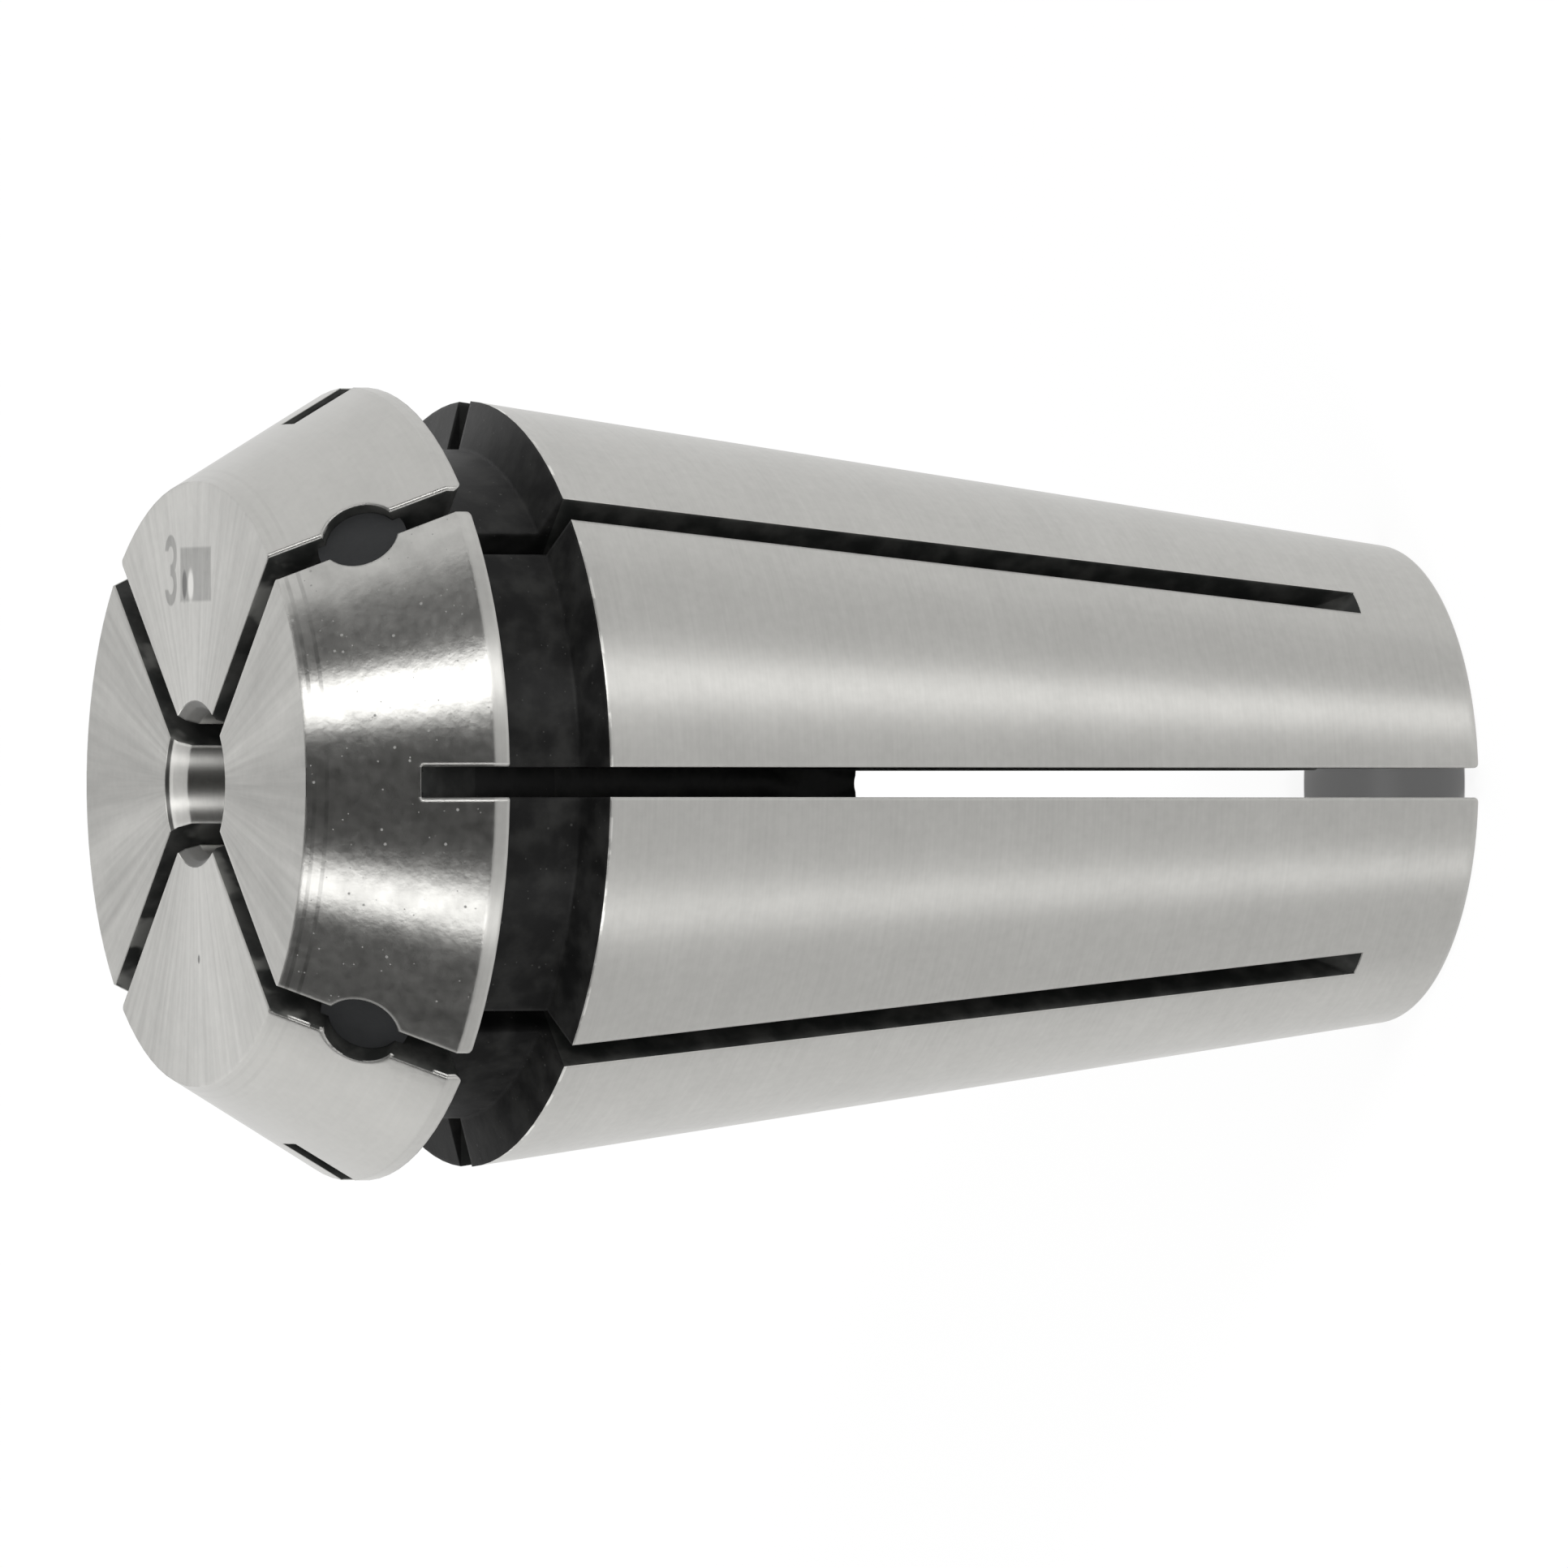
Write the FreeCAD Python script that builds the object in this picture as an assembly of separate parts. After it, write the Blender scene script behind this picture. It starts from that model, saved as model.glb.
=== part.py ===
import FreeCAD, Part
import math
import os

# ER spring collet of size 16 for a 3 mm shank, with rubber plugs that seal its front slots.
# It stands on its rear end: the origin is the centre of the rear end, and +Z runs to the front face.
# All sizes are in millimetres. Depths are measured from the front face towards the rear end.

# Overall form
collet_length = 27.5
head_diameter = 16.8
face_diameter = 12.8
nut_cone_angle = 30.0
head_land = 0.33

# Extractor groove behind the head
groove_width = 2.37
groove_floor_diameter = 14.2
groove_wall_run = 0.27

# Clamping taper that seats in the holder
taper_front_diameter = 16.25
taper_angle = 8.0
rear_edge_radius = 0.25

# Gripping bore with its lead-in cone, and behind it the relief bore, whose depth runs from the rear end
bore_diameter = 3.05
lead_in_diameter = 3.37
lead_in_angle = 21.0
bore_mouth_diameter = 3.54
relief_depth = 13.0
relief_diameter = 6.5
relief_cone_angle = 59.0
relief_mouth_chamfer = 0.2

# Saw cuts that let the collet close on its shank, each stopping short of the far end by its web
slots_per_end = 4
slot_width = 0.63
saw_diameter = 80.0
saw_overrun = 0.08
rear_slot_web = 2.1
front_slot_web = 2.3
first_front_slot_angle = 45.0
first_rear_slot_angle = 0.0
corner_radius = 0.2
edge_rounding = 0.1

# Sealing plugs, each in a hole drilled square to the nut cone on a front slot
plug_hole_diameter = 1.64
plug_hole_depth = 5.4
plug_hole_place = 1.68
plug_hole_chamfer = 0.05
drill_point_angle = 59.0
plug_clearance = 0.02
plug_swelling = 0.14
plug_end_gap = 0.1
plug_1_recess = 0.38
plug_2_recess = 0.38
plug_3_recess = 0.45
plug_4_recess = 0.30

# Reach of a cutting tool past the metal that it cuts
tool_reach = 1.0

axis_foot = FreeCAD.Vector(0, 0, 0)
axis = FreeCAD.Vector(0, 0, 1)

head_radius = head_diameter / 2
face_radius = face_diameter / 2
bore_radius = bore_diameter / 2
lead_in_radius = lead_in_diameter / 2
bore_mouth_radius = bore_mouth_diameter / 2
relief_radius = relief_diameter / 2
groove_floor_radius = groove_floor_diameter / 2
taper_front_radius = taper_front_diameter / 2
saw_radius = saw_diameter / 2
plug_hole_radius = plug_hole_diameter / 2

cone_slope = math.tan(math.radians(nut_cone_angle))
taper_slope = math.tan(math.radians(taper_angle))

land_depth = (head_radius - face_radius) / cone_slope
groove_front_depth = land_depth + head_land
groove_rear_depth = groove_front_depth + groove_width
rear_radius = taper_front_radius - (collet_length - groove_rear_depth) * taper_slope

# Where the slots end on the outside, the rear ones on the nut cone and the front ones on the taper
rear_slot_end_radius = face_radius + rear_slot_web * cone_slope
front_slot_end_depth = collet_length - front_slot_web
front_slot_end_radius = rear_radius + front_slot_web * taper_slope


def point(radius, depth):
    """Point of a half section in the XZ plane."""
    return FreeCAD.Vector(radius, 0, collet_length - depth)


def turn_to(shape, angle):
    """Shape turned about the collet's axis from the +X direction to another one."""
    shape.rotate(axis_foot, axis, angle)
    return shape


def rounded_outline(corners):
    """Closed wire through corners of radius, depth and rounding, where 0 leaves a corner sharp."""
    joints = []
    for index, (radius, depth, rounding) in enumerate(corners):
        here = point(radius, depth)
        if rounding == 0:
            joints.append((here, here, here))
            continue
        before = point(*corners[index - 1][:2])
        after = point(*corners[(index + 1) % len(corners)][:2])
        to_before = (before - here).normalize()
        to_after = (after - here).normalize()
        half_turn = to_before.getAngle(to_after) / 2
        setback = rounding / math.tan(half_turn)
        inward = (to_before + to_after).normalize()
        crown = here + inward * (rounding / math.sin(half_turn) - rounding)
        joints.append((here + to_before * setback, crown, here + to_after * setback))
    edges = []
    for index, (start, crown, end) in enumerate(joints):
        if start != end:
            edges.append(Part.Arc(start, crown, end).toShape())
        next_start = joints[(index + 1) % len(joints)][0]
        edges.append(Part.LineSegment(end, next_start).toShape())
    return Part.Wire(edges)


def turned_blank():
    """Collet before sawing: nut cone, land, extractor groove, clamping taper and stepped bore."""
    grip_end = collet_length - relief_depth
    relief_start = grip_end + (relief_radius - bore_radius) / math.tan(math.radians(relief_cone_angle))
    lead_in_slope = math.tan(math.radians(lead_in_angle))
    lead_in_depth = (lead_in_radius - bore_radius) / lead_in_slope
    mouth_depth = (bore_mouth_radius - lead_in_radius) / (1 - lead_in_slope)
    section = [
        (face_radius, 0, 0),
        (head_radius, land_depth, 0),
        (head_radius, groove_front_depth, 0),
        (groove_floor_radius, groove_front_depth, 0),
        (groove_floor_radius, groove_rear_depth - groove_wall_run, 0),
        (taper_front_radius, groove_rear_depth, 0),
        (rear_radius, collet_length, rear_edge_radius),
        (relief_radius + relief_mouth_chamfer, collet_length, 0),
        (relief_radius, collet_length - relief_mouth_chamfer, 0),
        (relief_radius, relief_start, 0),
        (bore_radius, grip_end, 0),
        (bore_radius, lead_in_depth, 0),
        (bore_mouth_radius - mouth_depth, mouth_depth, 0),
        (bore_mouth_radius, 0, 0),
    ]
    return Part.Face(rounded_outline(section)).revolve(axis_foot, axis, 360)


def saw_cut(end_radius, end_depth, direction, angle):
    """
    Slab swept by a disc saw fed along the axis, whose round floor meets the outside at the given end.
    The direction is 1 for a cut from the rear end and -1 for one from the front face.
    """
    centre_radius = saw_radius - saw_overrun
    outer_radius = head_radius + tool_reach

    def floor_reach(radius):
        return math.sqrt(saw_radius ** 2 - (centre_radius - radius) ** 2)

    stop_depth = end_depth + direction * floor_reach(end_radius)
    entry_depth = stop_depth + direction * collet_length
    floor = [(radius, stop_depth - direction * floor_reach(radius))
             for radius in (-saw_overrun, end_radius, outer_radius)]
    floor_arc = Part.Arc(*[point(*place) for place in floor])
    rest = [floor[2], (outer_radius, entry_depth), (-saw_overrun, entry_depth), floor[0]]
    sides = Part.makePolygon([point(*place) for place in rest])
    outline = Part.Wire([floor_arc.toShape()] + sides.Edges)
    slab = Part.Face(outline).extrude(FreeCAD.Vector(0, slot_width, 0))
    slab.translate(FreeCAD.Vector(0, -slot_width / 2, 0))
    return turn_to(slab, angle)


def corner_cuts(inner_radius, depth, angle):
    """Two slivers that round the corners where a slot's walls meet a face that looks to the rear."""
    wall = slot_width / 2
    cut_edge = collet_length - depth
    length = head_radius + tool_reach - inner_radius
    cuts = []
    for side in (-1, 1):
        corner = FreeCAD.Vector(inner_radius, side * wall, cut_edge)
        on_face = corner + FreeCAD.Vector(0, side * corner_radius, 0)
        on_wall = corner + FreeCAD.Vector(0, 0, corner_radius)
        inset = corner_radius * (1 - math.cos(math.radians(45)))
        crown = corner + FreeCAD.Vector(0, side * inset, inset)
        arc = Part.Arc(on_face, crown, on_wall).toShape()
        sides = Part.makePolygon([on_wall, corner, on_face])
        sliver = Part.Face(Part.Wire([arc] + sides.Edges)).extrude(FreeCAD.Vector(length, 0, 0))
        cuts.append(turn_to(sliver, angle))
    return cuts


def edge_cuts(start, end, angle):
    """
    Two slivers that round the edges where a slot's walls meet a straight stretch of the outside.
    The stretch runs between two places of radius and depth, and the slivers overrun it by the rounding.
    """
    wall = slot_width / 2
    first, last = [point(math.sqrt(radius ** 2 - wall ** 2), depth) for radius, depth in (start, end)]
    along = (last - first).normalize()
    outward = FreeCAD.Vector(-along.z, 0, along.x)
    cuts = []
    for side in (-1, 1):
        across = FreeCAD.Vector(0, side, 0)
        edge = first - along * edge_rounding + across * wall
        on_wall = edge - outward * edge_rounding
        on_skin = edge + across * edge_rounding
        inset = edge_rounding * (1 - math.cos(math.radians(45)))
        arc = Part.Arc(on_wall, edge + (across - outward) * inset, on_skin).toShape()
        clear = [on_skin + outward * edge_rounding, on_wall + (outward * 2 - across) * edge_rounding]
        sides = Part.makePolygon([on_skin, *clear, on_wall - across * edge_rounding, on_wall])
        sliver = Part.Face(Part.Wire([arc] + sides.Edges))
        cuts.append(turn_to(sliver.extrude(along * ((last - first).Length + 2 * edge_rounding)), angle))
    return cuts


def slot_angles(first):
    """Directions of the slots of one end, evenly spaced about the axis."""
    return [first + index * 360 / slots_per_end for index in range(slots_per_end)]


def rear_slots():
    """Slots sawn from the rear end that stop on the nut cone, with their mouths' corners rounded."""
    start = (rear_slot_end_radius + edge_rounding * cone_slope, rear_slot_web + edge_rounding)
    cutters = []
    for angle in slot_angles(first_rear_slot_angle):
        cutters.append(saw_cut(rear_slot_end_radius, rear_slot_web, 1, angle))
        cutters += corner_cuts(bore_radius, collet_length, angle)
        cutters += edge_cuts(start, (head_radius, land_depth), angle)
        cutters += edge_cuts((head_radius, land_depth), (head_radius, groove_front_depth), angle)
    return cutters


def front_slots():
    """Slots sawn from the front face that stop on the taper, rounded where they leave the head."""
    cutters = []
    for angle in slot_angles(first_front_slot_angle):
        cutters.append(saw_cut(front_slot_end_radius, front_slot_end_depth, -1, angle))
        cutters += corner_cuts(groove_floor_radius, groove_front_depth, angle)
        cutters += edge_cuts((face_radius, 0), (head_radius, land_depth), angle)
        cutters += edge_cuts((head_radius, land_depth), (head_radius, groove_front_depth), angle)
    return cutters


def plug_axis():
    """Where a plug's axis meets the nut cone, and its direction into the metal, in the XZ plane."""
    tilt = math.radians(nut_cone_angle)
    inward = FreeCAD.Vector(-math.cos(tilt), 0, -math.sin(tilt))
    return point(face_radius + plug_hole_place * cone_slope, plug_hole_place), inward


def plug_rod(radius, start, end):
    """Round rod along a plug's axis, from start to end below the nut cone."""
    mouth, inward = plug_axis()
    return Part.makeCylinder(radius, end - start, mouth + inward * start, inward)


def plug_hole(angle):
    """Blind hole for a plug, with its drill point and a chamfered mouth."""
    mouth, inward = plug_axis()
    point_length = plug_hole_radius / math.tan(math.radians(drill_point_angle))
    tip = Part.makeCone(plug_hole_radius, 0, point_length, mouth + inward * plug_hole_depth, inward)
    flare = Part.makeCone(plug_hole_radius, plug_hole_radius + 2 * plug_hole_chamfer, 2 * plug_hole_chamfer,
                          mouth + inward * plug_hole_chamfer, inward * -1)
    shank = plug_rod(plug_hole_radius, -tool_reach, plug_hole_depth)
    return turn_to(shank.fuse([tip, flare]), angle)


def seal_plug(angle, recess):
    """Rubber rod that fills its hole, with two ears where the squeezed rubber swells into the slot."""
    end = plug_hole_depth - plug_end_gap
    rod = plug_rod(plug_hole_radius - plug_clearance, recess, end)
    swollen = plug_rod(plug_hole_radius + plug_swelling, recess, end)
    gap = slot_width - 2 * plug_clearance
    slot_space = Part.makeBox(head_diameter, gap, collet_length, FreeCAD.Vector(0, -gap / 2, 0))
    plug = rod.fuse(swollen.common(slot_space)).removeSplitter()
    return turn_to(plug, angle)


def collet_body():
    """One piece of hardened steel, sawn from both ends into a ring of springy fingers."""
    body = turned_blank()
    plug_holes = [plug_hole(angle) for angle in slot_angles(first_front_slot_angle)]
    for cutter in rear_slots() + front_slots() + plug_holes:
        body = body.cut(cutter)
    return body


def main():
    os.makedirs("parts", exist_ok=True)
    recesses = [plug_1_recess, plug_2_recess, plug_3_recess, plug_4_recess]
    nodes = {"collet_body": collet_body()}
    for number, angle in enumerate(slot_angles(first_front_slot_angle), start=1):
        recess = recesses[(number - 1) % len(recesses)]
        nodes["seal_plug_" + str(number)] = seal_plug(angle, recess)
    for name, shape in nodes.items():
        print(name, "solids", len(shape.Solids), "valid", shape.isValid(), "volume", round(shape.Volume, 3))
        shape.exportStep("parts/" + name + ".step")


main()
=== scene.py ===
import math
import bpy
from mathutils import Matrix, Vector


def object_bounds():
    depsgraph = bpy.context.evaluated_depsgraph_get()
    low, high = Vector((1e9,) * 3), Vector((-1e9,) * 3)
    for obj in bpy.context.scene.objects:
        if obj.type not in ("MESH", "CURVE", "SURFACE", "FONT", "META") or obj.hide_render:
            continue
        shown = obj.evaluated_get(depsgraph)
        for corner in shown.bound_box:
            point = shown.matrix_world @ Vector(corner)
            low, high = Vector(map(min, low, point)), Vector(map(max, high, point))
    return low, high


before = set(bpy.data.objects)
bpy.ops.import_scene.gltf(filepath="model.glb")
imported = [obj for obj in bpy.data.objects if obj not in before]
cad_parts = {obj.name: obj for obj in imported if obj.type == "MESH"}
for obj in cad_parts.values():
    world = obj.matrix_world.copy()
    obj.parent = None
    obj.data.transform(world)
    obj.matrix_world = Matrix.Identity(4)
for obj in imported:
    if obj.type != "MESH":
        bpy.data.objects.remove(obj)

from types import SimpleNamespace

import bpy
from mathutils import Matrix, Vector

cad_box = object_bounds()

# Lengths are in metres, or in millimetres where the name ends in _MM. The collet stands on its rear end.
MM = 0.001

# Collet sizes, with the length read from the frame
LENGTH_MM = cad_box[1].z / MM
HEAD_RADIUS_MM = 8.4
FACE_RADIUS_MM = 6.4
BORE_RADIUS_MM = 1.525
RELIEF_RADIUS_MM = 3.25
NUT_CONE_SLOPE = math.tan(math.radians(30))
TAPER_SLOPE = math.tan(math.radians(8))
TAPER_FRONT_RADIUS_MM = 8.125
LAND_FRONT_MM = 24.036
GROOVE_FRONT_MM = 23.706
GROOVE_REAR_MM = 21.336
FOOT_MM = 0.3
SLOT_EDGE_MM = 0.32
SKIN_MM = 0.13
LEAD_IN_MM = 0.45

# Heights between which the two bores turn from painted shade, drawn in the black steel, to bright steel
# towards their open ends
GRIP_SHADE_FADE_MM = 20.0, 23.0
RELIEF_SHADE_FADE_MM = 12.0, 8.0

# Forms that are too fine for the solids
ROLLED_EDGE_MM = 0.12
CONE_WAVE_MM = 0.003
PIT_MM = 0.01
RUBBER_GRAIN_MM = 0.008

# Camera: the photograph is taken from the side and a little from the front, with the front face to the left
CAMERA_DISTANCE = 0.5
CAMERA_LENS = 537.87
CAMERA_SENSOR = 36.0
CAMERA_AZIMUTH = -0.3
CAMERA_ELEVATION = 22.63
CAMERA_TARGET = Vector((0, 0, 14.017 * MM))

# Linear colours, in pairs from clean to dusty where there are two
STEEL_COLOUR = (0.50, 0.495, 0.475)
SPECK_COLOUR = (0.26, 0.26, 0.25, 1)
# Painted light on the blackened slot walls near the face
SLOT_LIGHT_COLOUR = (0.16, 0.16, 0.15, 1)
GROOVE_BLACKS = (0.009, 0.009, 0.009, 1), (0.027, 0.027, 0.026, 1)
SLOT_BLACKS = (0.020, 0.021, 0.020, 1), (0.055, 0.055, 0.052, 1)
RUBBER_BLACKS = (0.022, 0.023, 0.024, 1), (0.034, 0.035, 0.036, 1)
PAPER_COLOUR = (0.85, 0.85, 0.85, 1)
CLOTH_COLOUR = (0.012, 0.012, 0.012, 1)
WHITE = (1, 1, 1, 1)

# Strength of the light, and how white the backdrop shows, also in the painted shadow where the collet
# covers the floor
WORLD_LIGHT = 0.6
WORLD_WHITE = 1.0
FLOOR_WHITE = 1.07
FLOOR_WHITE_SHARE = 0.85
PAINTED_SHADOW_WHITE_SHARE = 0.10


def direction(azimuth, elevation):
    """Unit vector from the collet, in degrees; azimuth 0 is towards the viewer and turns towards +X."""
    turn = math.radians(azimuth)
    rise = math.radians(elevation)
    return Vector((math.sin(turn) * math.cos(rise), -math.cos(turn) * math.cos(rise), math.sin(rise)))


def make_camera():
    """Camera rolled a quarter turn, so that the collet's axis lies level in the picture."""
    data = bpy.data.cameras.new("camera")
    data.lens = CAMERA_LENS
    data.sensor_width = CAMERA_SENSOR
    camera = bpy.data.objects.new("camera", data)
    back = direction(CAMERA_AZIMUTH, CAMERA_ELEVATION)
    up = direction(CAMERA_AZIMUTH + 90, 0)
    right = up.cross(back)
    roll = Matrix((right, up, back)).transposed()
    camera.matrix_world = Matrix.Translation(CAMERA_TARGET + back * CAMERA_DISTANCE) @ roll.to_4x4()
    bpy.context.scene.collection.objects.link(camera)
    bpy.context.scene.camera = camera


class Graph:
    """A node tree built with short calls. Inputs are numbers, tuples or output sockets."""

    def __init__(self, tree):
        self.tree = tree
        tree.nodes.clear()

    def add(self, kind, settings=None, **inputs):
        node = self.tree.nodes.new(kind)
        for name, setting in (settings or {}).items():
            setattr(node, name, setting)
        for name, source in inputs.items():
            self.feed(node.inputs[name.replace("_", " ")], source)
        return node

    def feed(self, socket, source):
        if isinstance(source, bpy.types.NodeSocket):
            self.tree.links.new(source, socket)
        else:
            socket.default_value = source

    def math(self, operation, *sources, clamp=False):
        node = self.add("ShaderNodeMath", {"operation": operation, "use_clamp": clamp})
        for socket, source in zip(node.inputs, sources):
            self.feed(socket, source)
        return node.outputs[0]

    def chain(self, operation, first, *others):
        for other in others:
            first = self.math(operation, first, other)
        return first

    def product(self, *sources):
        return self.chain("MULTIPLY", *sources)

    def total(self, *sources):
        return self.chain("ADD", *sources)

    def largest(self, *sources):
        return self.chain("MAXIMUM", *sources)

    def smallest(self, *sources):
        return self.chain("MINIMUM", *sources)

    def minus(self, first, second):
        return self.math("SUBTRACT", first, second)

    def size(self, source):
        """The number without its sign."""
        return self.math("ABSOLUTE", source)

    def above(self, first, second):
        """1 where the first number is larger than the second."""
        return self.math("GREATER_THAN", first, second)

    def below(self, first, second):
        """1 where the first number is smaller than the second."""
        return self.math("LESS_THAN", first, second)

    def without(self, mask, hole):
        """The part of a mask that lies outside another mask."""
        return self.product(mask, self.minus(1.0, hole))

    def scaled(self, source, gain, offset):
        return self.math("MULTIPLY_ADD", source, gain, offset)

    def vector(self, operation, *sources, output="Vector"):
        node = self.add("ShaderNodeVectorMath", {"operation": operation})
        for socket, source in zip(node.inputs, sources):
            self.feed(socket, source)
        return node.outputs[output]

    def stretch(self, source, scale):
        """A vector times a number."""
        node = self.add("ShaderNodeVectorMath", {"operation": "SCALE"}, Scale=scale)
        self.feed(node.inputs[0], source)
        return node.outputs["Vector"]

    def length(self, source):
        return self.vector("LENGTH", source, output="Value")

    def step(self, source, low, high):
        """Smooth step from 0 at low to 1 at high; low may be above high."""
        node = self.add("ShaderNodeMapRange", {"interpolation_type": "SMOOTHSTEP"},
                        Value=source, From_Min=low, From_Max=high)
        return node.outputs[0]

    def blend(self, kind, first_input, output, factor, first, second):
        node = self.add("ShaderNodeMix", {"data_type": kind})
        self.feed(node.inputs[0], factor)
        self.feed(node.inputs[first_input], first)
        self.feed(node.inputs[first_input + 1], second)
        return node.outputs[output]

    def mix(self, factor, first, second):
        """Mix of two numbers."""
        return self.blend("FLOAT", 2, 0, factor, first, second)

    def mix_vector(self, factor, first, second):
        return self.blend("VECTOR", 4, 1, factor, first, second)

    def mix_colour(self, factor, first, second):
        return self.blend("RGBA", 6, 2, factor, first, second)

    def mix_shader(self, factor, first, second):
        node = self.add("ShaderNodeMixShader", Fac=factor)
        self.feed(node.inputs[1], first)
        self.feed(node.inputs[2], second)
        return node.outputs[0]


def new_material(name):
    material = bpy.data.materials.new(name)
    material.use_nodes = True
    return material, Graph(material.node_tree)


def plain_three(graph, across, up, height, stroke):
    """Mask of a plain numeral 3 about the given place: two narrow arcs that are open to the left."""
    bend = (height - stroke) / 4
    narrowed = graph.product(across, 1.25)
    arcs = []
    for side in (1.0, -1.0):
        from_centre = graph.scaled(up, side, -bend)
        spot = graph.add("ShaderNodeCombineXYZ", X=narrowed, Y=from_centre).outputs[0]
        ring = graph.minus(graph.length(spot), bend)
        line = graph.step(graph.size(ring), stroke * 0.62, stroke * 0.38)
        right = graph.step(narrowed, -0.2 * bend, 0.0)
        end = graph.step(from_centre, 0.2 * bend, 0.4 * bend)
        arcs.append(graph.product(line, graph.largest(right, end)))
    return graph.largest(*arcs)


def plain_patch(graph, across, up, width, height):
    """Mask of a plain rectangle about the given place, with soft edges."""
    soft = 0.04
    beyond_side = graph.minus(graph.size(across), width / 2)
    beyond_end = graph.minus(graph.size(up), height / 2)
    return graph.step(graph.largest(beyond_side, beyond_end), soft, -soft)


def oval(graph, across, up, width, height):
    """Mask of an upright oval: 1 in its middle and 0 at its rim."""
    wide = graph.product(across, 2 / width)
    high = graph.product(up, 2 / height)
    spot = graph.add("ShaderNodeCombineXYZ", X=wide, Y=high).outputs[0]
    return graph.step(graph.length(spot), 1.0, 0.5)


def ring_line(graph, height, level, width):
    """Mask of a fine turned line round the collet at one height."""
    away = graph.size(graph.minus(height, level))
    return graph.step(away, width, width * 0.5)


def specks(graph, place, scale, radius, share):
    """Mask of small scattered dots; share is how many of the cells hold one."""
    cells = graph.add("ShaderNodeTexVoronoi", Vector=place, Scale=scale)
    pick = graph.add("ShaderNodeSeparateColor", Color=cells.outputs["Color"]).outputs[0]
    dot = graph.step(cells.outputs["Distance"], radius * scale, radius * scale * 0.5)
    return graph.product(dot, graph.below(pick, share))


def noise(graph, place, scale, detail):
    return graph.add("ShaderNodeTexNoise", Vector=place, Scale=scale, Detail=detail).outputs["Fac"]


def collet_place(graph):
    """Where a point lies on the collet, in millimetres, how deep under its outside and how it faces."""
    coordinates = graph.add("ShaderNodeTexCoord").outputs
    place = graph.stretch(coordinates["Object"], 1 / MM)
    x, y, height = graph.add("ShaderNodeSeparateXYZ", Vector=place).outputs
    flat = graph.add("ShaderNodeCombineXYZ", X=x, Y=y, Z=0.0).outputs[0]
    radius = graph.length(flat)
    outward = graph.vector("NORMALIZE", flat)
    facing = graph.vector("DOT_PRODUCT", coordinates["Normal"], outward, output="Value")
    cone = graph.scaled(height, -NUT_CONE_SLOPE, FACE_RADIUS_MM + LENGTH_MM * NUT_CONE_SLOPE)
    taper = graph.scaled(height, TAPER_SLOPE, TAPER_FRONT_RADIUS_MM - GROOVE_REAR_MM * TAPER_SLOPE)
    depth = graph.minus(graph.smallest(cone, taper, HEAD_RADIUS_MM), radius)
    return SimpleNamespace(place=place, x=x, y=y, height=height, flat=flat, radius=radius, outward=outward,
                           facing=facing, depth=depth, aside=graph.size(x), forward=graph.size(y))


def noises(graph, at):
    """Even noise of three sizes, grinding lines round the outside and turning rays out over the face."""
    lines_place = graph.vector("ADD", graph.vector("MULTIPLY", at.outward, (3.0, 3.0, 0.0)),
                               graph.vector("MULTIPLY", at.place, (0.0, 0.0, 14.0)))
    rays_place = graph.vector("ADD", graph.vector("MULTIPLY", at.outward, (22.0, 22.0, 0.0)),
                              graph.vector("MULTIPLY", at.flat, (0.25, 0.25, 0.0)))
    return SimpleNamespace(
        clouds=noise(graph, at.place, scale=0.7, detail=3.0),
        stains=noise(graph, at.place, scale=1.6, detail=4.0),
        smears=noise(graph, at.place, scale=5.0, detail=4.0),
        lines=noise(graph, lines_place, scale=1.0, detail=4.0),
        rays=noise(graph, rays_place, scale=1.0, detail=5.0),
    )


def slot_mask(graph, at):
    """Mask of what lies in a slot, between jaws or across one."""
    diagonal = graph.product(graph.size(graph.minus(at.aside, at.forward)), math.sqrt(0.5))
    from_slot = graph.smallest(at.aside, at.forward, diagonal)
    return graph.step(from_slot, SLOT_EDGE_MM, SLOT_EDGE_MM - 0.02)


def dull_edges(graph, at, stains):
    """Mask of slot edges drawn in the black steel so that they don't shine: those at the sides, as painted
    shade, and stretches on the lower jaw where the stain noise is high.
    """
    # Painted shade: the slot edges at the sides are drawn black
    shaded_side_edges = graph.step(at.forward, 0.50, 0.46)
    lower_jaw = graph.above(graph.product(at.x, -1.0), at.forward)
    dark_edge_stretches = graph.product(lower_jaw, graph.step(stains, 0.46, 0.52))
    turned_away = graph.step(at.facing, 0.80, 0.70)
    return graph.product(graph.largest(shaded_side_edges, dark_edge_stretches), turned_away)


def bore_masks(graph, at, face):
    """Masks of the bores: their bright ends, with painted shade in the black steel deeper in, the wall of
    the gripping bore and its lead-in.
    """
    inward = graph.step(at.facing, -0.4, -0.6)
    near_grip = graph.step(at.radius, BORE_RADIUS_MM + 0.325, BORE_RADIUS_MM + 0.275)
    # Painted shade: deeper in, the bores are drawn in the black steel, and they turn bright towards their
    # open ends
    grip = graph.product(near_grip, graph.step(at.height, *GRIP_SHADE_FADE_MM))
    near_relief = graph.step(at.radius, RELIEF_RADIUS_MM + 0.3, RELIEF_RADIUS_MM + 0.2)
    relief = graph.product(near_relief, graph.step(at.height, *RELIEF_SHADE_FADE_MM))
    near_mouth = graph.step(at.height, LENGTH_MM - LEAD_IN_MM, LENGTH_MM - LEAD_IN_MM + 0.05)
    near_bore = graph.step(at.radius, BORE_RADIUS_MM + 0.30, BORE_RADIUS_MM + 0.25)
    lead_in = graph.without(graph.product(near_mouth, near_bore), face)
    wall = graph.without(graph.product(grip, inward), lead_in)
    bright = graph.product(inward, graph.largest(grip, relief))
    return SimpleNamespace(bright=bright, wall=wall, lead_in=lead_in)


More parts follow.
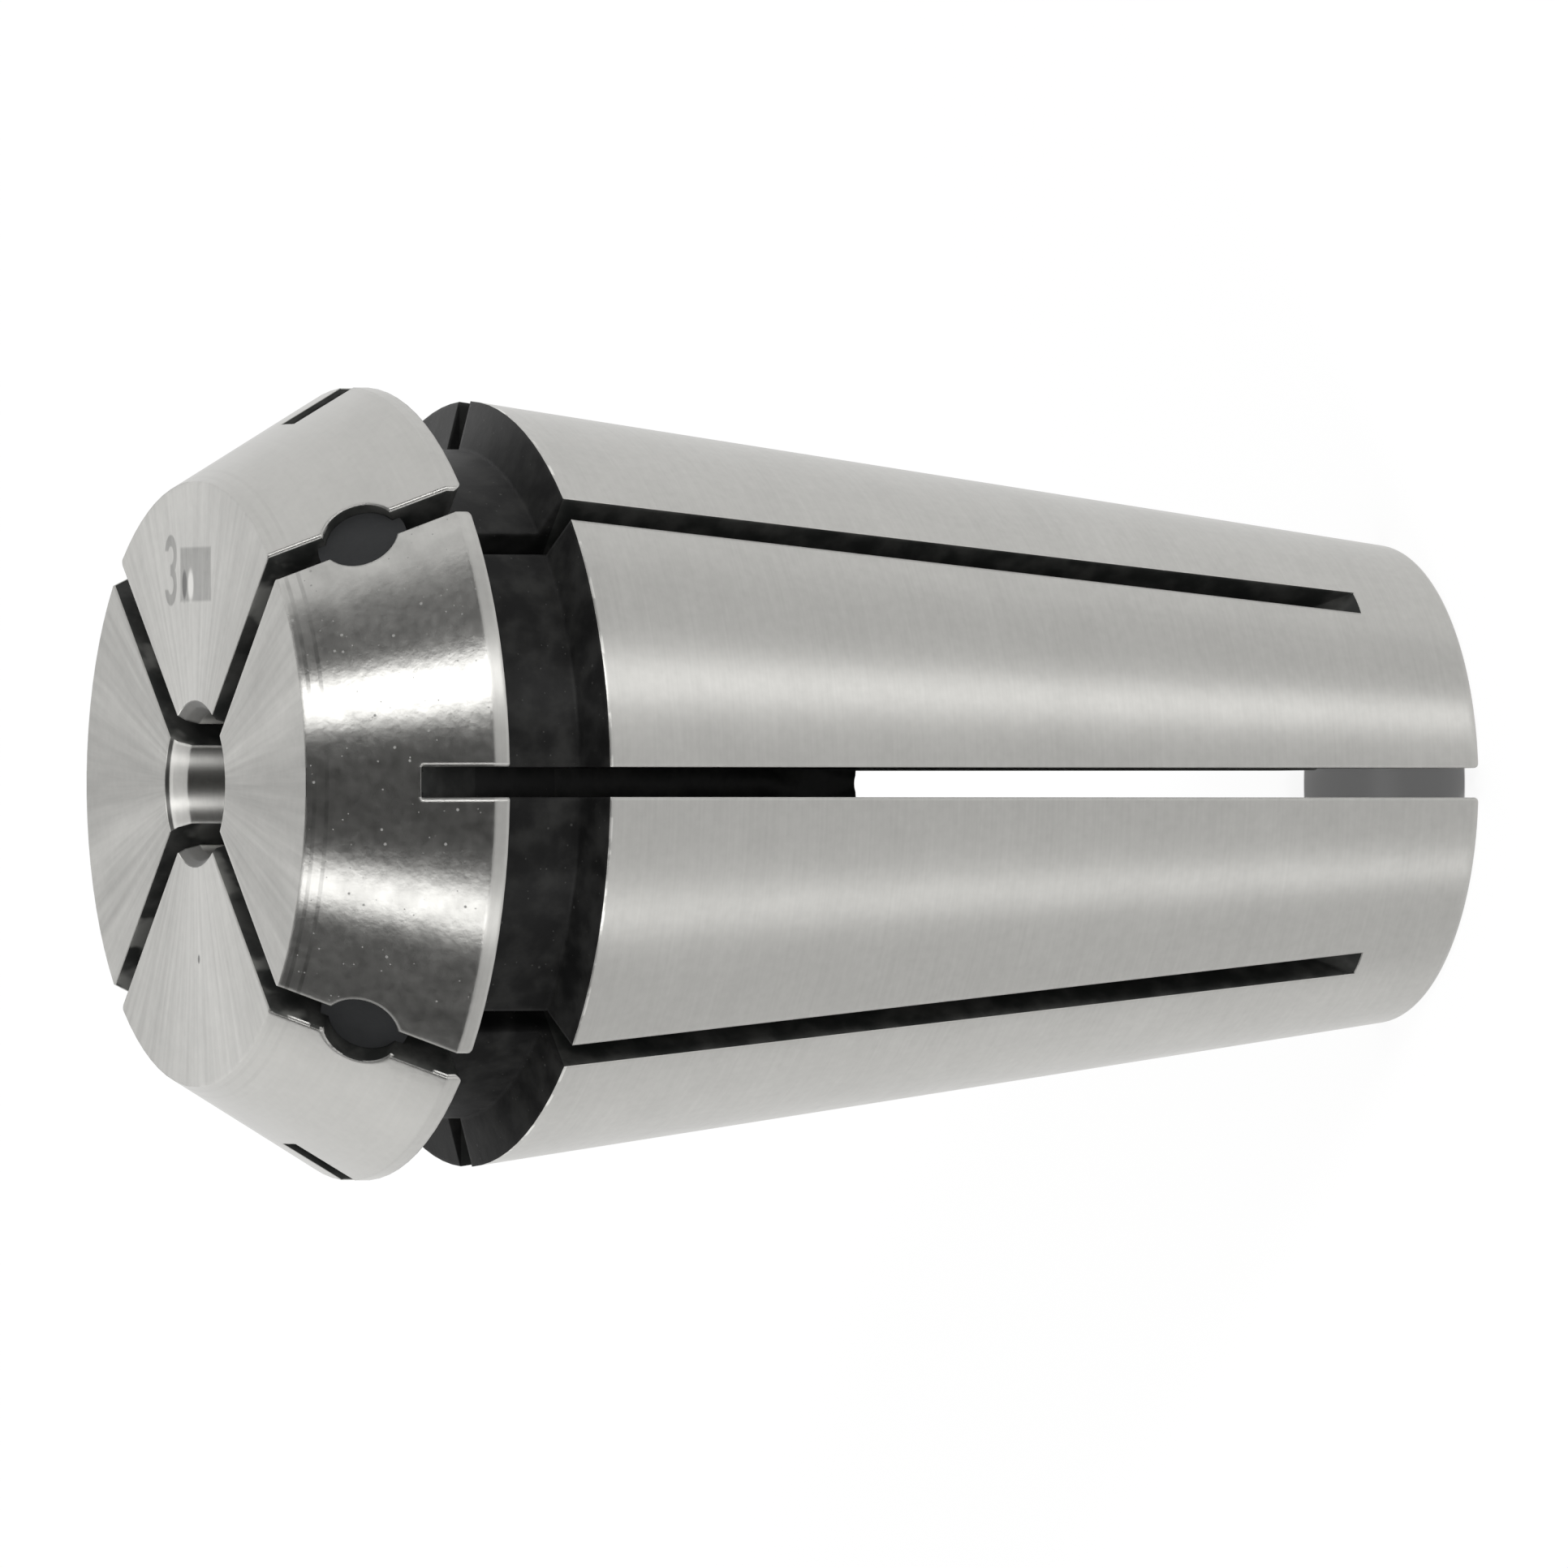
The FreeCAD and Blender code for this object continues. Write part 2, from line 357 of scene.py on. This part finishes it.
def steel_zones(graph, at, stains):
    """Masks of the steel's surfaces: where it is ground bright, and which surface it is."""
    in_slot = slot_mask(graph, at)
    slot_depth = graph.product(at.depth, graph.scaled(in_slot, gain=6.0, offset=1.0))
    skin = graph.product(graph.step(slot_depth, SKIN_MM, SKIN_MM - 0.04), graph.step(at.facing, 0.25, 0.4))
    # Slot edges painted dark are taken out of the bright skin; those at the sides are painted shade
    skin = graph.without(skin, dull_edges(graph, at, stains))
    face = graph.step(at.height, LENGTH_MM - 0.02, LENGTH_MM - 0.01)
    foot = graph.step(at.height, FOOT_MM, FOOT_MM - 0.05)
    bore = bore_masks(graph, at, face)
    in_groove = graph.product(graph.step(at.height, GROOVE_REAR_MM - 0.01, GROOVE_REAR_MM),
                              graph.step(at.height, GROOVE_FRONT_MM + 0.01, GROOVE_FRONT_MM))
    bright = graph.without(graph.largest(skin, face, foot, bore.bright), in_groove)
    on_cone = graph.product(skin, graph.step(at.height, LAND_FRONT_MM - 0.02, LAND_FRONT_MM + 0.02))
    worn_cone = graph.product(on_cone, graph.above(at.forward, at.aside))
    return SimpleNamespace(in_slot=in_slot, skin=skin, face=face, bore=bore, in_groove=in_groove,
                           bright=bright, on_cone=on_cone, worn_cone=worn_cone)


def face_marks(graph, at):
    """Change of brightness by the marks on the jaw at +X, read with +X up, with the painted shade and
    painted glint of a punch dent, and by the painted shade of a nick opposite.
    """
    three_level = 0.40
    patch_level = 0.36
    punch_level = 0.75
    across = graph.product(at.y, -1.0)

    def beside(right, above):
        return graph.minus(across, right), graph.minus(at.x, above)

    three = plain_three(graph, *beside(-1.38, 4.53), height=1.50, stroke=0.24)
    patch = plain_patch(graph, *beside(0.07, 4.43), width=1.78, height=1.14)
    # Painted shade and painted glint of a small punch dent
    punch_shade = oval(graph, *beside(-0.58, 4.22), width=0.40, height=0.90)
    punch_glint = oval(graph, *beside(-0.22, 4.20), width=0.42, height=0.85)
    # Painted shade of a small nick
    nick_shade = oval(graph, *beside(0.22, -3.70), width=0.16, height=0.24)
    flat_marks = graph.largest(graph.product(three, three_level), graph.product(patch, patch_level))
    dimming = graph.largest(flat_marks, graph.product(graph.largest(punch_shade, nick_shade), punch_level))
    return graph.minus(graph.product(punch_glint, punch_level), dimming)


def skin_marks(graph, at, grain):
    """Change of brightness by two faint turned lines near the face and by wear behind the groove,
    brightened in patches as painted glints.
    """
    wear_and_glint_level = 0.5
    turned_lines = graph.largest(ring_line(graph, at.height, level=LENGTH_MM - 0.16, width=0.05),
                                 ring_line(graph, at.height, level=LENGTH_MM - 0.39, width=0.05))
    turned_lines = graph.product(turned_lines, graph.step(grain.clouds, 0.30, 0.70))
    line_level = graph.mix(graph.above(at.forward, at.aside), 0.06, 0.34)
    # Wear on the taper's front edge, brightened in patches as painted glints
    worn_glinting_edge = ring_line(graph, at.height, level=GROOVE_REAR_MM - 0.03, width=0.06)
    wear_and_glints = graph.product(worn_glinting_edge, graph.step(grain.stains, 0.50, 0.58))
    return graph.minus(graph.product(wear_and_glints, wear_and_glint_level), graph.product(turned_lines, line_level))


def painted_cone_shade(graph, at, on_cone):
    """Mask of painted shade: a dim stretch on the near jaw's cone, towards the lower jaw."""
    beyond = graph.minus(graph.product(at.x, -1.0), graph.product(at.forward, 0.6))
    rising = graph.step(beyond, 0.0, 1.2)
    on_jaw = graph.below(beyond, graph.product(at.forward, 0.4))
    near_side = graph.below(at.y, 0.0)
    return graph.product(rising, on_jaw, near_side, on_cone)


def steel_shine(graph, at, grain, zones, far_mouth_light):
    """Brightness of the metal, about 1: grain, smears and marks, with painted shade on the near jaw's cone
    and painted light and shade in the bore.
    """
    lines_gain = graph.mix(zones.on_cone, 0.14, 0.08)
    ground_lines = graph.scaled(grain.lines, lines_gain, offset=-0.06)
    face_rays = graph.scaled(grain.rays, gain=0.50, offset=-0.25)
    mottle = graph.product(graph.minus(grain.stains, 0.6), 0.6)
    shine = graph.total(
        1.0,
        graph.mix(zones.face, ground_lines, face_rays),
        graph.scaled(grain.clouds, gain=0.12, offset=-0.06),
        graph.product(face_marks(graph, at), zones.face),
        graph.product(skin_marks(graph, at, grain), zones.skin),
        graph.scaled(grain.smears, gain=0.16, offset=-0.08),
        graph.product(mottle, zones.worn_cone),
    )
    # Painted shade on the near jaw's cone, towards the lower jaw
    cone_shade = graph.mix(painted_cone_shade(graph, at, zones.on_cone), 1.0, 0.62)
    # Painted light and shade in the bore: the lead-in is darkened but brightened on its far side, and the
    # gripping wall is dark on the near side and bright on the far side
    lead_in_light = graph.mix(far_mouth_light, 0.4, 1.8)
    wall_light = graph.mix(graph.step(at.y, 0.5, 0.9), 0.5, 1.6)
    return graph.product(
        shine,
        cone_shade,
        graph.mix(zones.bore.lead_in, 1.0, lead_in_light),
        graph.mix(zones.bore.wall, 1.0, wall_light),
    )


def black_steel(graph, at, grain, in_groove):
    """Colour of the blackened steel in the groove and in the slots, with painted light in patches on the
    slot walls near the face.
    """
    dirt = graph.step(grain.stains, 0.35, 0.75)
    groove_black = graph.mix_colour(dirt, *GROOVE_BLACKS)
    slot_black = graph.mix_colour(dirt, *SLOT_BLACKS)
    # Painted light: the slot walls are lighter in patches near the open face, where light falls in
    near_face = graph.step(at.height, LENGTH_MM - 1.6, LENGTH_MM - 0.3)
    slot_light = graph.product(near_face, graph.step(grain.clouds, 0.52, 0.62))
    slot_black = graph.mix_colour(slot_light, slot_black, SLOT_LIGHT_COLOUR)
    return graph.mix_colour(in_groove, slot_black, groove_black)


def steel_roughness(graph, grain, zones):
    """Roughness: polished on the cone, ground elsewhere outside, and matt where the steel is black."""
    cone = graph.scaled(grain.smears, gain=0.12, offset=0.26)
    ground = graph.mix(zones.on_cone, 0.36, cone)
    ground = graph.mix(zones.bore.wall, ground, 0.46)
    ground = graph.mix(zones.bore.lead_in, ground, 0.5)
    black = graph.scaled(grain.stains, gain=0.2, offset=0.35)
    return graph.mix(zones.bright, black, ground)


def steel_normal(graph, grain, zones):
    """Normal with waves on the cone, pits in the black steel and rolled edges outside the slots."""
    pits = graph.product(graph.without(grain.stains, zones.bright), PIT_MM)
    waves = graph.product(zones.on_cone, grain.smears)
    height = graph.scaled(waves, CONE_WAVE_MM, pits)
    rolled = graph.add("ShaderNodeBevel", {"samples": 8}, Radius=ROLLED_EDGE_MM * MM).outputs[0]
    sharp = graph.add("ShaderNodeNewGeometry").outputs["Normal"]
    edges = graph.mix_vector(zones.in_slot, rolled, sharp)
    return graph.add("ShaderNodeBump", Distance=1.0 * MM, Height=height, Normal=edges).outputs[0]


def steel_material():
    """Hardened steel: ground outside and in the bore, blackened in the groove and the slots."""
    material, graph = new_material("collet_steel")
    at = collet_place(graph)
    grain = noises(graph, at)
    zones = steel_zones(graph, at, grain.stains)
    # Painted highlight on the far side of the bore's mouth
    near_mouth_edge = graph.step(at.radius, BORE_RADIUS_MM + 0.18, BORE_RADIUS_MM + 0.15)
    far_mouth_light = graph.product(graph.step(at.y, 0.9, 1.2), near_mouth_edge)
    dots = graph.largest(specks(graph, at.place, scale=3.0, radius=0.040, share=0.35),
                         specks(graph, at.place, scale=6.0, radius=0.022, share=0.4))
    dots = graph.product(dots, graph.largest(zones.worn_cone, graph.product(zones.in_groove, 0.15)))
    steel = graph.stretch(STEEL_COLOUR, steel_shine(graph, at, grain, zones, far_mouth_light))
    black = black_steel(graph, at, grain, zones.in_groove)
    colour = graph.mix_colour(dots, graph.mix_colour(zones.bright, black, steel), SPECK_COLOUR)
    # The painted highlight also takes some metal from the far lead-in, so that it shows brighter
    lit_lead_in = graph.product(zones.bore.lead_in, far_mouth_light, 0.5)
    metal = graph.math("SUBTRACT", zones.bright, graph.largest(dots, lit_lead_in), clamp=True)
    tangent = graph.add("ShaderNodeTangent", {"direction_type": "RADIAL", "axis": "Z"}).outputs[0]
    sheen = graph.mix(graph.step(at.x, -3.5, -6.0), 0.15, 0.03)
    surface = graph.add("ShaderNodeBsdfPrincipled", Base_Color=colour, Metallic=metal,
                        Roughness=steel_roughness(graph, grain, zones), Specular_IOR_Level=sheen,
                        Anisotropic=0.95, Anisotropic_Rotation=0.25, Tangent=tangent,
                        Normal=steel_normal(graph, grain, zones))
    graph.add("ShaderNodeOutputMaterial", Surface=surface.outputs[0])
    return material


def rubber_material():
    """Matt black seal rubber with a fine moulded grain."""
    material, graph = new_material("seal_rubber")
    place = graph.stretch(graph.add("ShaderNodeTexCoord").outputs["Object"], 1 / MM)
    grain = noise(graph, place, scale=9.0, detail=3.0)
    bloom = noise(graph, place, scale=1.5, detail=2.0)
    height = graph.product(grain, RUBBER_GRAIN_MM)
    normal = graph.add("ShaderNodeBump", Distance=1.0 * MM, Height=height).outputs[0]
    surface = graph.add("ShaderNodeBsdfPrincipled", Base_Color=graph.mix_colour(bloom, *RUBBER_BLACKS),
                        Roughness=graph.scaled(grain, gain=0.2, offset=0.45), Specular_IOR_Level=0.15,
                        Normal=normal)
    graph.add("ShaderNodeOutputMaterial", Surface=surface.outputs[0])
    return material


def backdrop_rays(graph):
    """1 for rays that should meet a plain white backdrop, and 0 for the rays that carry its light."""
    rays = graph.add("ShaderNodeLightPath").outputs
    return graph.largest(rays["Is Camera Ray"], rays["Is Glossy Ray"], rays["Is Transmission Ray"])


def make_floor():
    """Pale floor that shows white from above, keeps the collet's shadow and is clear from below."""
    half_size = 3.0
    # Radius inside which the floor has a painted shadow, where the collet covers it
    painted_shadow_radius_mm = 4.2
    corners = [(-half_size, -half_size, 0), (half_size, -half_size, 0),
               (half_size, half_size, 0), (-half_size, half_size, 0)]
    mesh = bpy.data.meshes.new("floor")
    mesh.from_pydata(corners, [], [(0, 1, 2, 3)])
    floor = bpy.data.objects.new("floor", mesh)
    bpy.context.scene.collection.objects.link(floor)
    material, graph = new_material("floor")
    paper = graph.add("ShaderNodeBsdfDiffuse", Color=PAPER_COLOUR).outputs[0]
    glow = graph.add("ShaderNodeEmission", Color=WHITE, Strength=FLOOR_WHITE).outputs[0]
    # Painted shadow: inside that circle most of the white glow is taken away
    reach = graph.length(graph.add("ShaderNodeTexCoord").outputs["Object"])
    beyond_painted_shadow = graph.step(reach, painted_shadow_radius_mm * MM, (painted_shadow_radius_mm + 0.1) * MM)
    shadowed_glow_share = graph.mix(beyond_painted_shadow, PAINTED_SHADOW_WHITE_SHARE, 1.0)
    whiteness = graph.product(backdrop_rays(graph), FLOOR_WHITE_SHARE, shadowed_glow_share)
    clear = graph.add("ShaderNodeBsdfTransparent").outputs[0]
    below = graph.add("ShaderNodeNewGeometry").outputs["Backfacing"]
    surface = graph.mix_shader(below, graph.mix_shader(whiteness, paper, glow), clear)
    graph.add("ShaderNodeOutputMaterial", Surface=surface)
    mesh.materials.append(material)


def make_world():
    """Soft even light, with a plain white backdrop where it is seen or mirrored."""
    world = bpy.data.worlds.new("studio")
    bpy.context.scene.world = world
    world.use_nodes = True
    graph = Graph(world.node_tree)
    light = graph.add("ShaderNodeBackground", Color=WHITE, Strength=WORLD_LIGHT).outputs[0]
    white = graph.add("ShaderNodeBackground", Color=WHITE, Strength=WORLD_WHITE).outputs[0]
    graph.add("ShaderNodeOutputWorld", Surface=graph.mix_shader(backdrop_rays(graph), light, white))


def make_lamp(name, azimuth, elevation, distance, width, height, power):
    """Soft box that faces the collet, with angles in degrees and power in watts."""
    data = bpy.data.lights.new(name, "AREA")
    data.shape = "RECTANGLE"
    data.size = width
    data.size_y = height
    data.energy = power
    lamp = bpy.data.objects.new(name, data)
    back = direction(azimuth, elevation)
    turn = back.to_track_quat("Z", "Y").to_matrix().to_4x4()
    lamp.matrix_world = Matrix.Translation(back * distance) @ turn
    lamp.visible_camera = False
    bpy.context.scene.collection.objects.link(lamp)


def make_flag(name, first, last, top, distance):
    """Dark curved screen beside the lens, between two azimuths, that only the polished metal mirrors."""
    steps = 12
    points = []
    for row in range(steps + 1):
        for column in range(steps + 1):
            azimuth = first + (last - first) * column / steps
            points.append(direction(azimuth, top * row / steps) * distance)
    faces = []
    for row in range(steps):
        for column in range(steps):
            corner = row * (steps + 1) + column
            faces.append((corner, corner + 1, corner + steps + 2, corner + steps + 1))
    mesh = bpy.data.meshes.new(name)
    mesh.from_pydata(points, [], faces)
    flag = bpy.data.objects.new(name, mesh)
    bpy.context.scene.collection.objects.link(flag)
    material, graph = new_material(name)
    cloth = graph.add("ShaderNodeBsdfDiffuse", Color=CLOTH_COLOUR)
    graph.add("ShaderNodeOutputMaterial", Surface=cloth.outputs[0])
    mesh.materials.append(material)
    flag.visible_camera = False
    flag.visible_diffuse = False
    flag.visible_shadow = False
    flag.visible_transmission = False


def exact_normal(graph, of_face, position):
    """Normal square to the axis, and whether the face is a turned one above the foot."""
    level = (1.0, 1.0, 0.0)
    radial = graph.vector("NORMALIZE", graph.vector("MULTIPLY", position, level))
    across = graph.vector("NORMALIZE", graph.vector("MULTIPLY", of_face, level))
    side = graph.vector("DOT_PRODUCT", across, radial, output="Value")
    steep = graph.add("ShaderNodeSeparateXYZ", Vector=of_face).outputs["Z"]
    run = graph.math("SQRT", graph.math("SUBTRACT", 1.0, graph.product(steep, steep), clamp=True))
    level_part = graph.stretch(radial, graph.product(run, graph.math("SIGN", side)))
    exact = graph.vector("ADD", level_part, graph.add("ShaderNodeCombineXYZ", Z=steep).outputs[0])
    height = graph.add("ShaderNodeSeparateXYZ", Vector=position).outputs["Z"]
    least_side = math.cos(math.radians(8))
    turned = graph.product(graph.above(graph.size(side), least_side), graph.above(height, FOOT_MM * MM))
    return exact, turned


def turned_normals(node):
    """Gives the turned surfaces exact normals in place of the facets' rounded ones."""
    tree = bpy.data.node_groups.new("turned_normals", "GeometryNodeTree")
    tree.is_modifier = True
    for end in ("INPUT", "OUTPUT"):
        tree.interface.new_socket("Geometry", in_out=end, socket_type="NodeSocketGeometry")
    graph = Graph(tree)
    source = graph.add("NodeGroupInput").outputs[0]
    normal = graph.add("GeometryNodeInputNormal").outputs["Normal"]
    position = graph.add("GeometryNodeInputPosition").outputs[0]
    on_faces = {"domain": "FACE", "data_type": "FLOAT_VECTOR"}
    of_face = graph.add("GeometryNodeFieldOnDomain", on_faces, Value=normal).outputs[0]
    exact, turned = exact_normal(graph, of_face, position)
    chosen = graph.mix_vector(turned, normal, exact)
    on_corners = {"mode": "FREE", "domain": "CORNER"}
    result = graph.add("GeometryNodeSetMeshNormal", on_corners, Mesh=source, Custom_Normal=chosen)
    graph.add("NodeGroupOutput", Geometry=result.outputs[0])
    node.modifiers.new("turned_normals", "NODES").node_group = tree


def dress(node, material):
    """Gives a node its material through the object's own slot."""
    slot = node.material_slots[0]
    slot.link = "OBJECT"
    slot.material = material


make_camera()
make_world()
make_floor()
make_lamp("strip_light_a", azimuth=31, elevation=25, distance=0.45, width=0.105, height=0.42, power=0.76)
make_lamp("strip_light_b", azimuth=-38.8, elevation=25, distance=0.45, width=0.09, height=0.42, power=0.48)
make_lamp("side_light", azimuth=-138, elevation=28, distance=0.7, width=0.8, height=0.5, power=0.28)
make_flag("flag", first=-94, last=70, top=88, distance=0.8)

steel = steel_material()
rubber = rubber_material()
for name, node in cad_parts.items():
    dress(node, steel if name == "collet_body" else rubber)
turned_normals(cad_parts["collet_body"])

bpy.context.scene.view_settings.view_transform = "Standard"
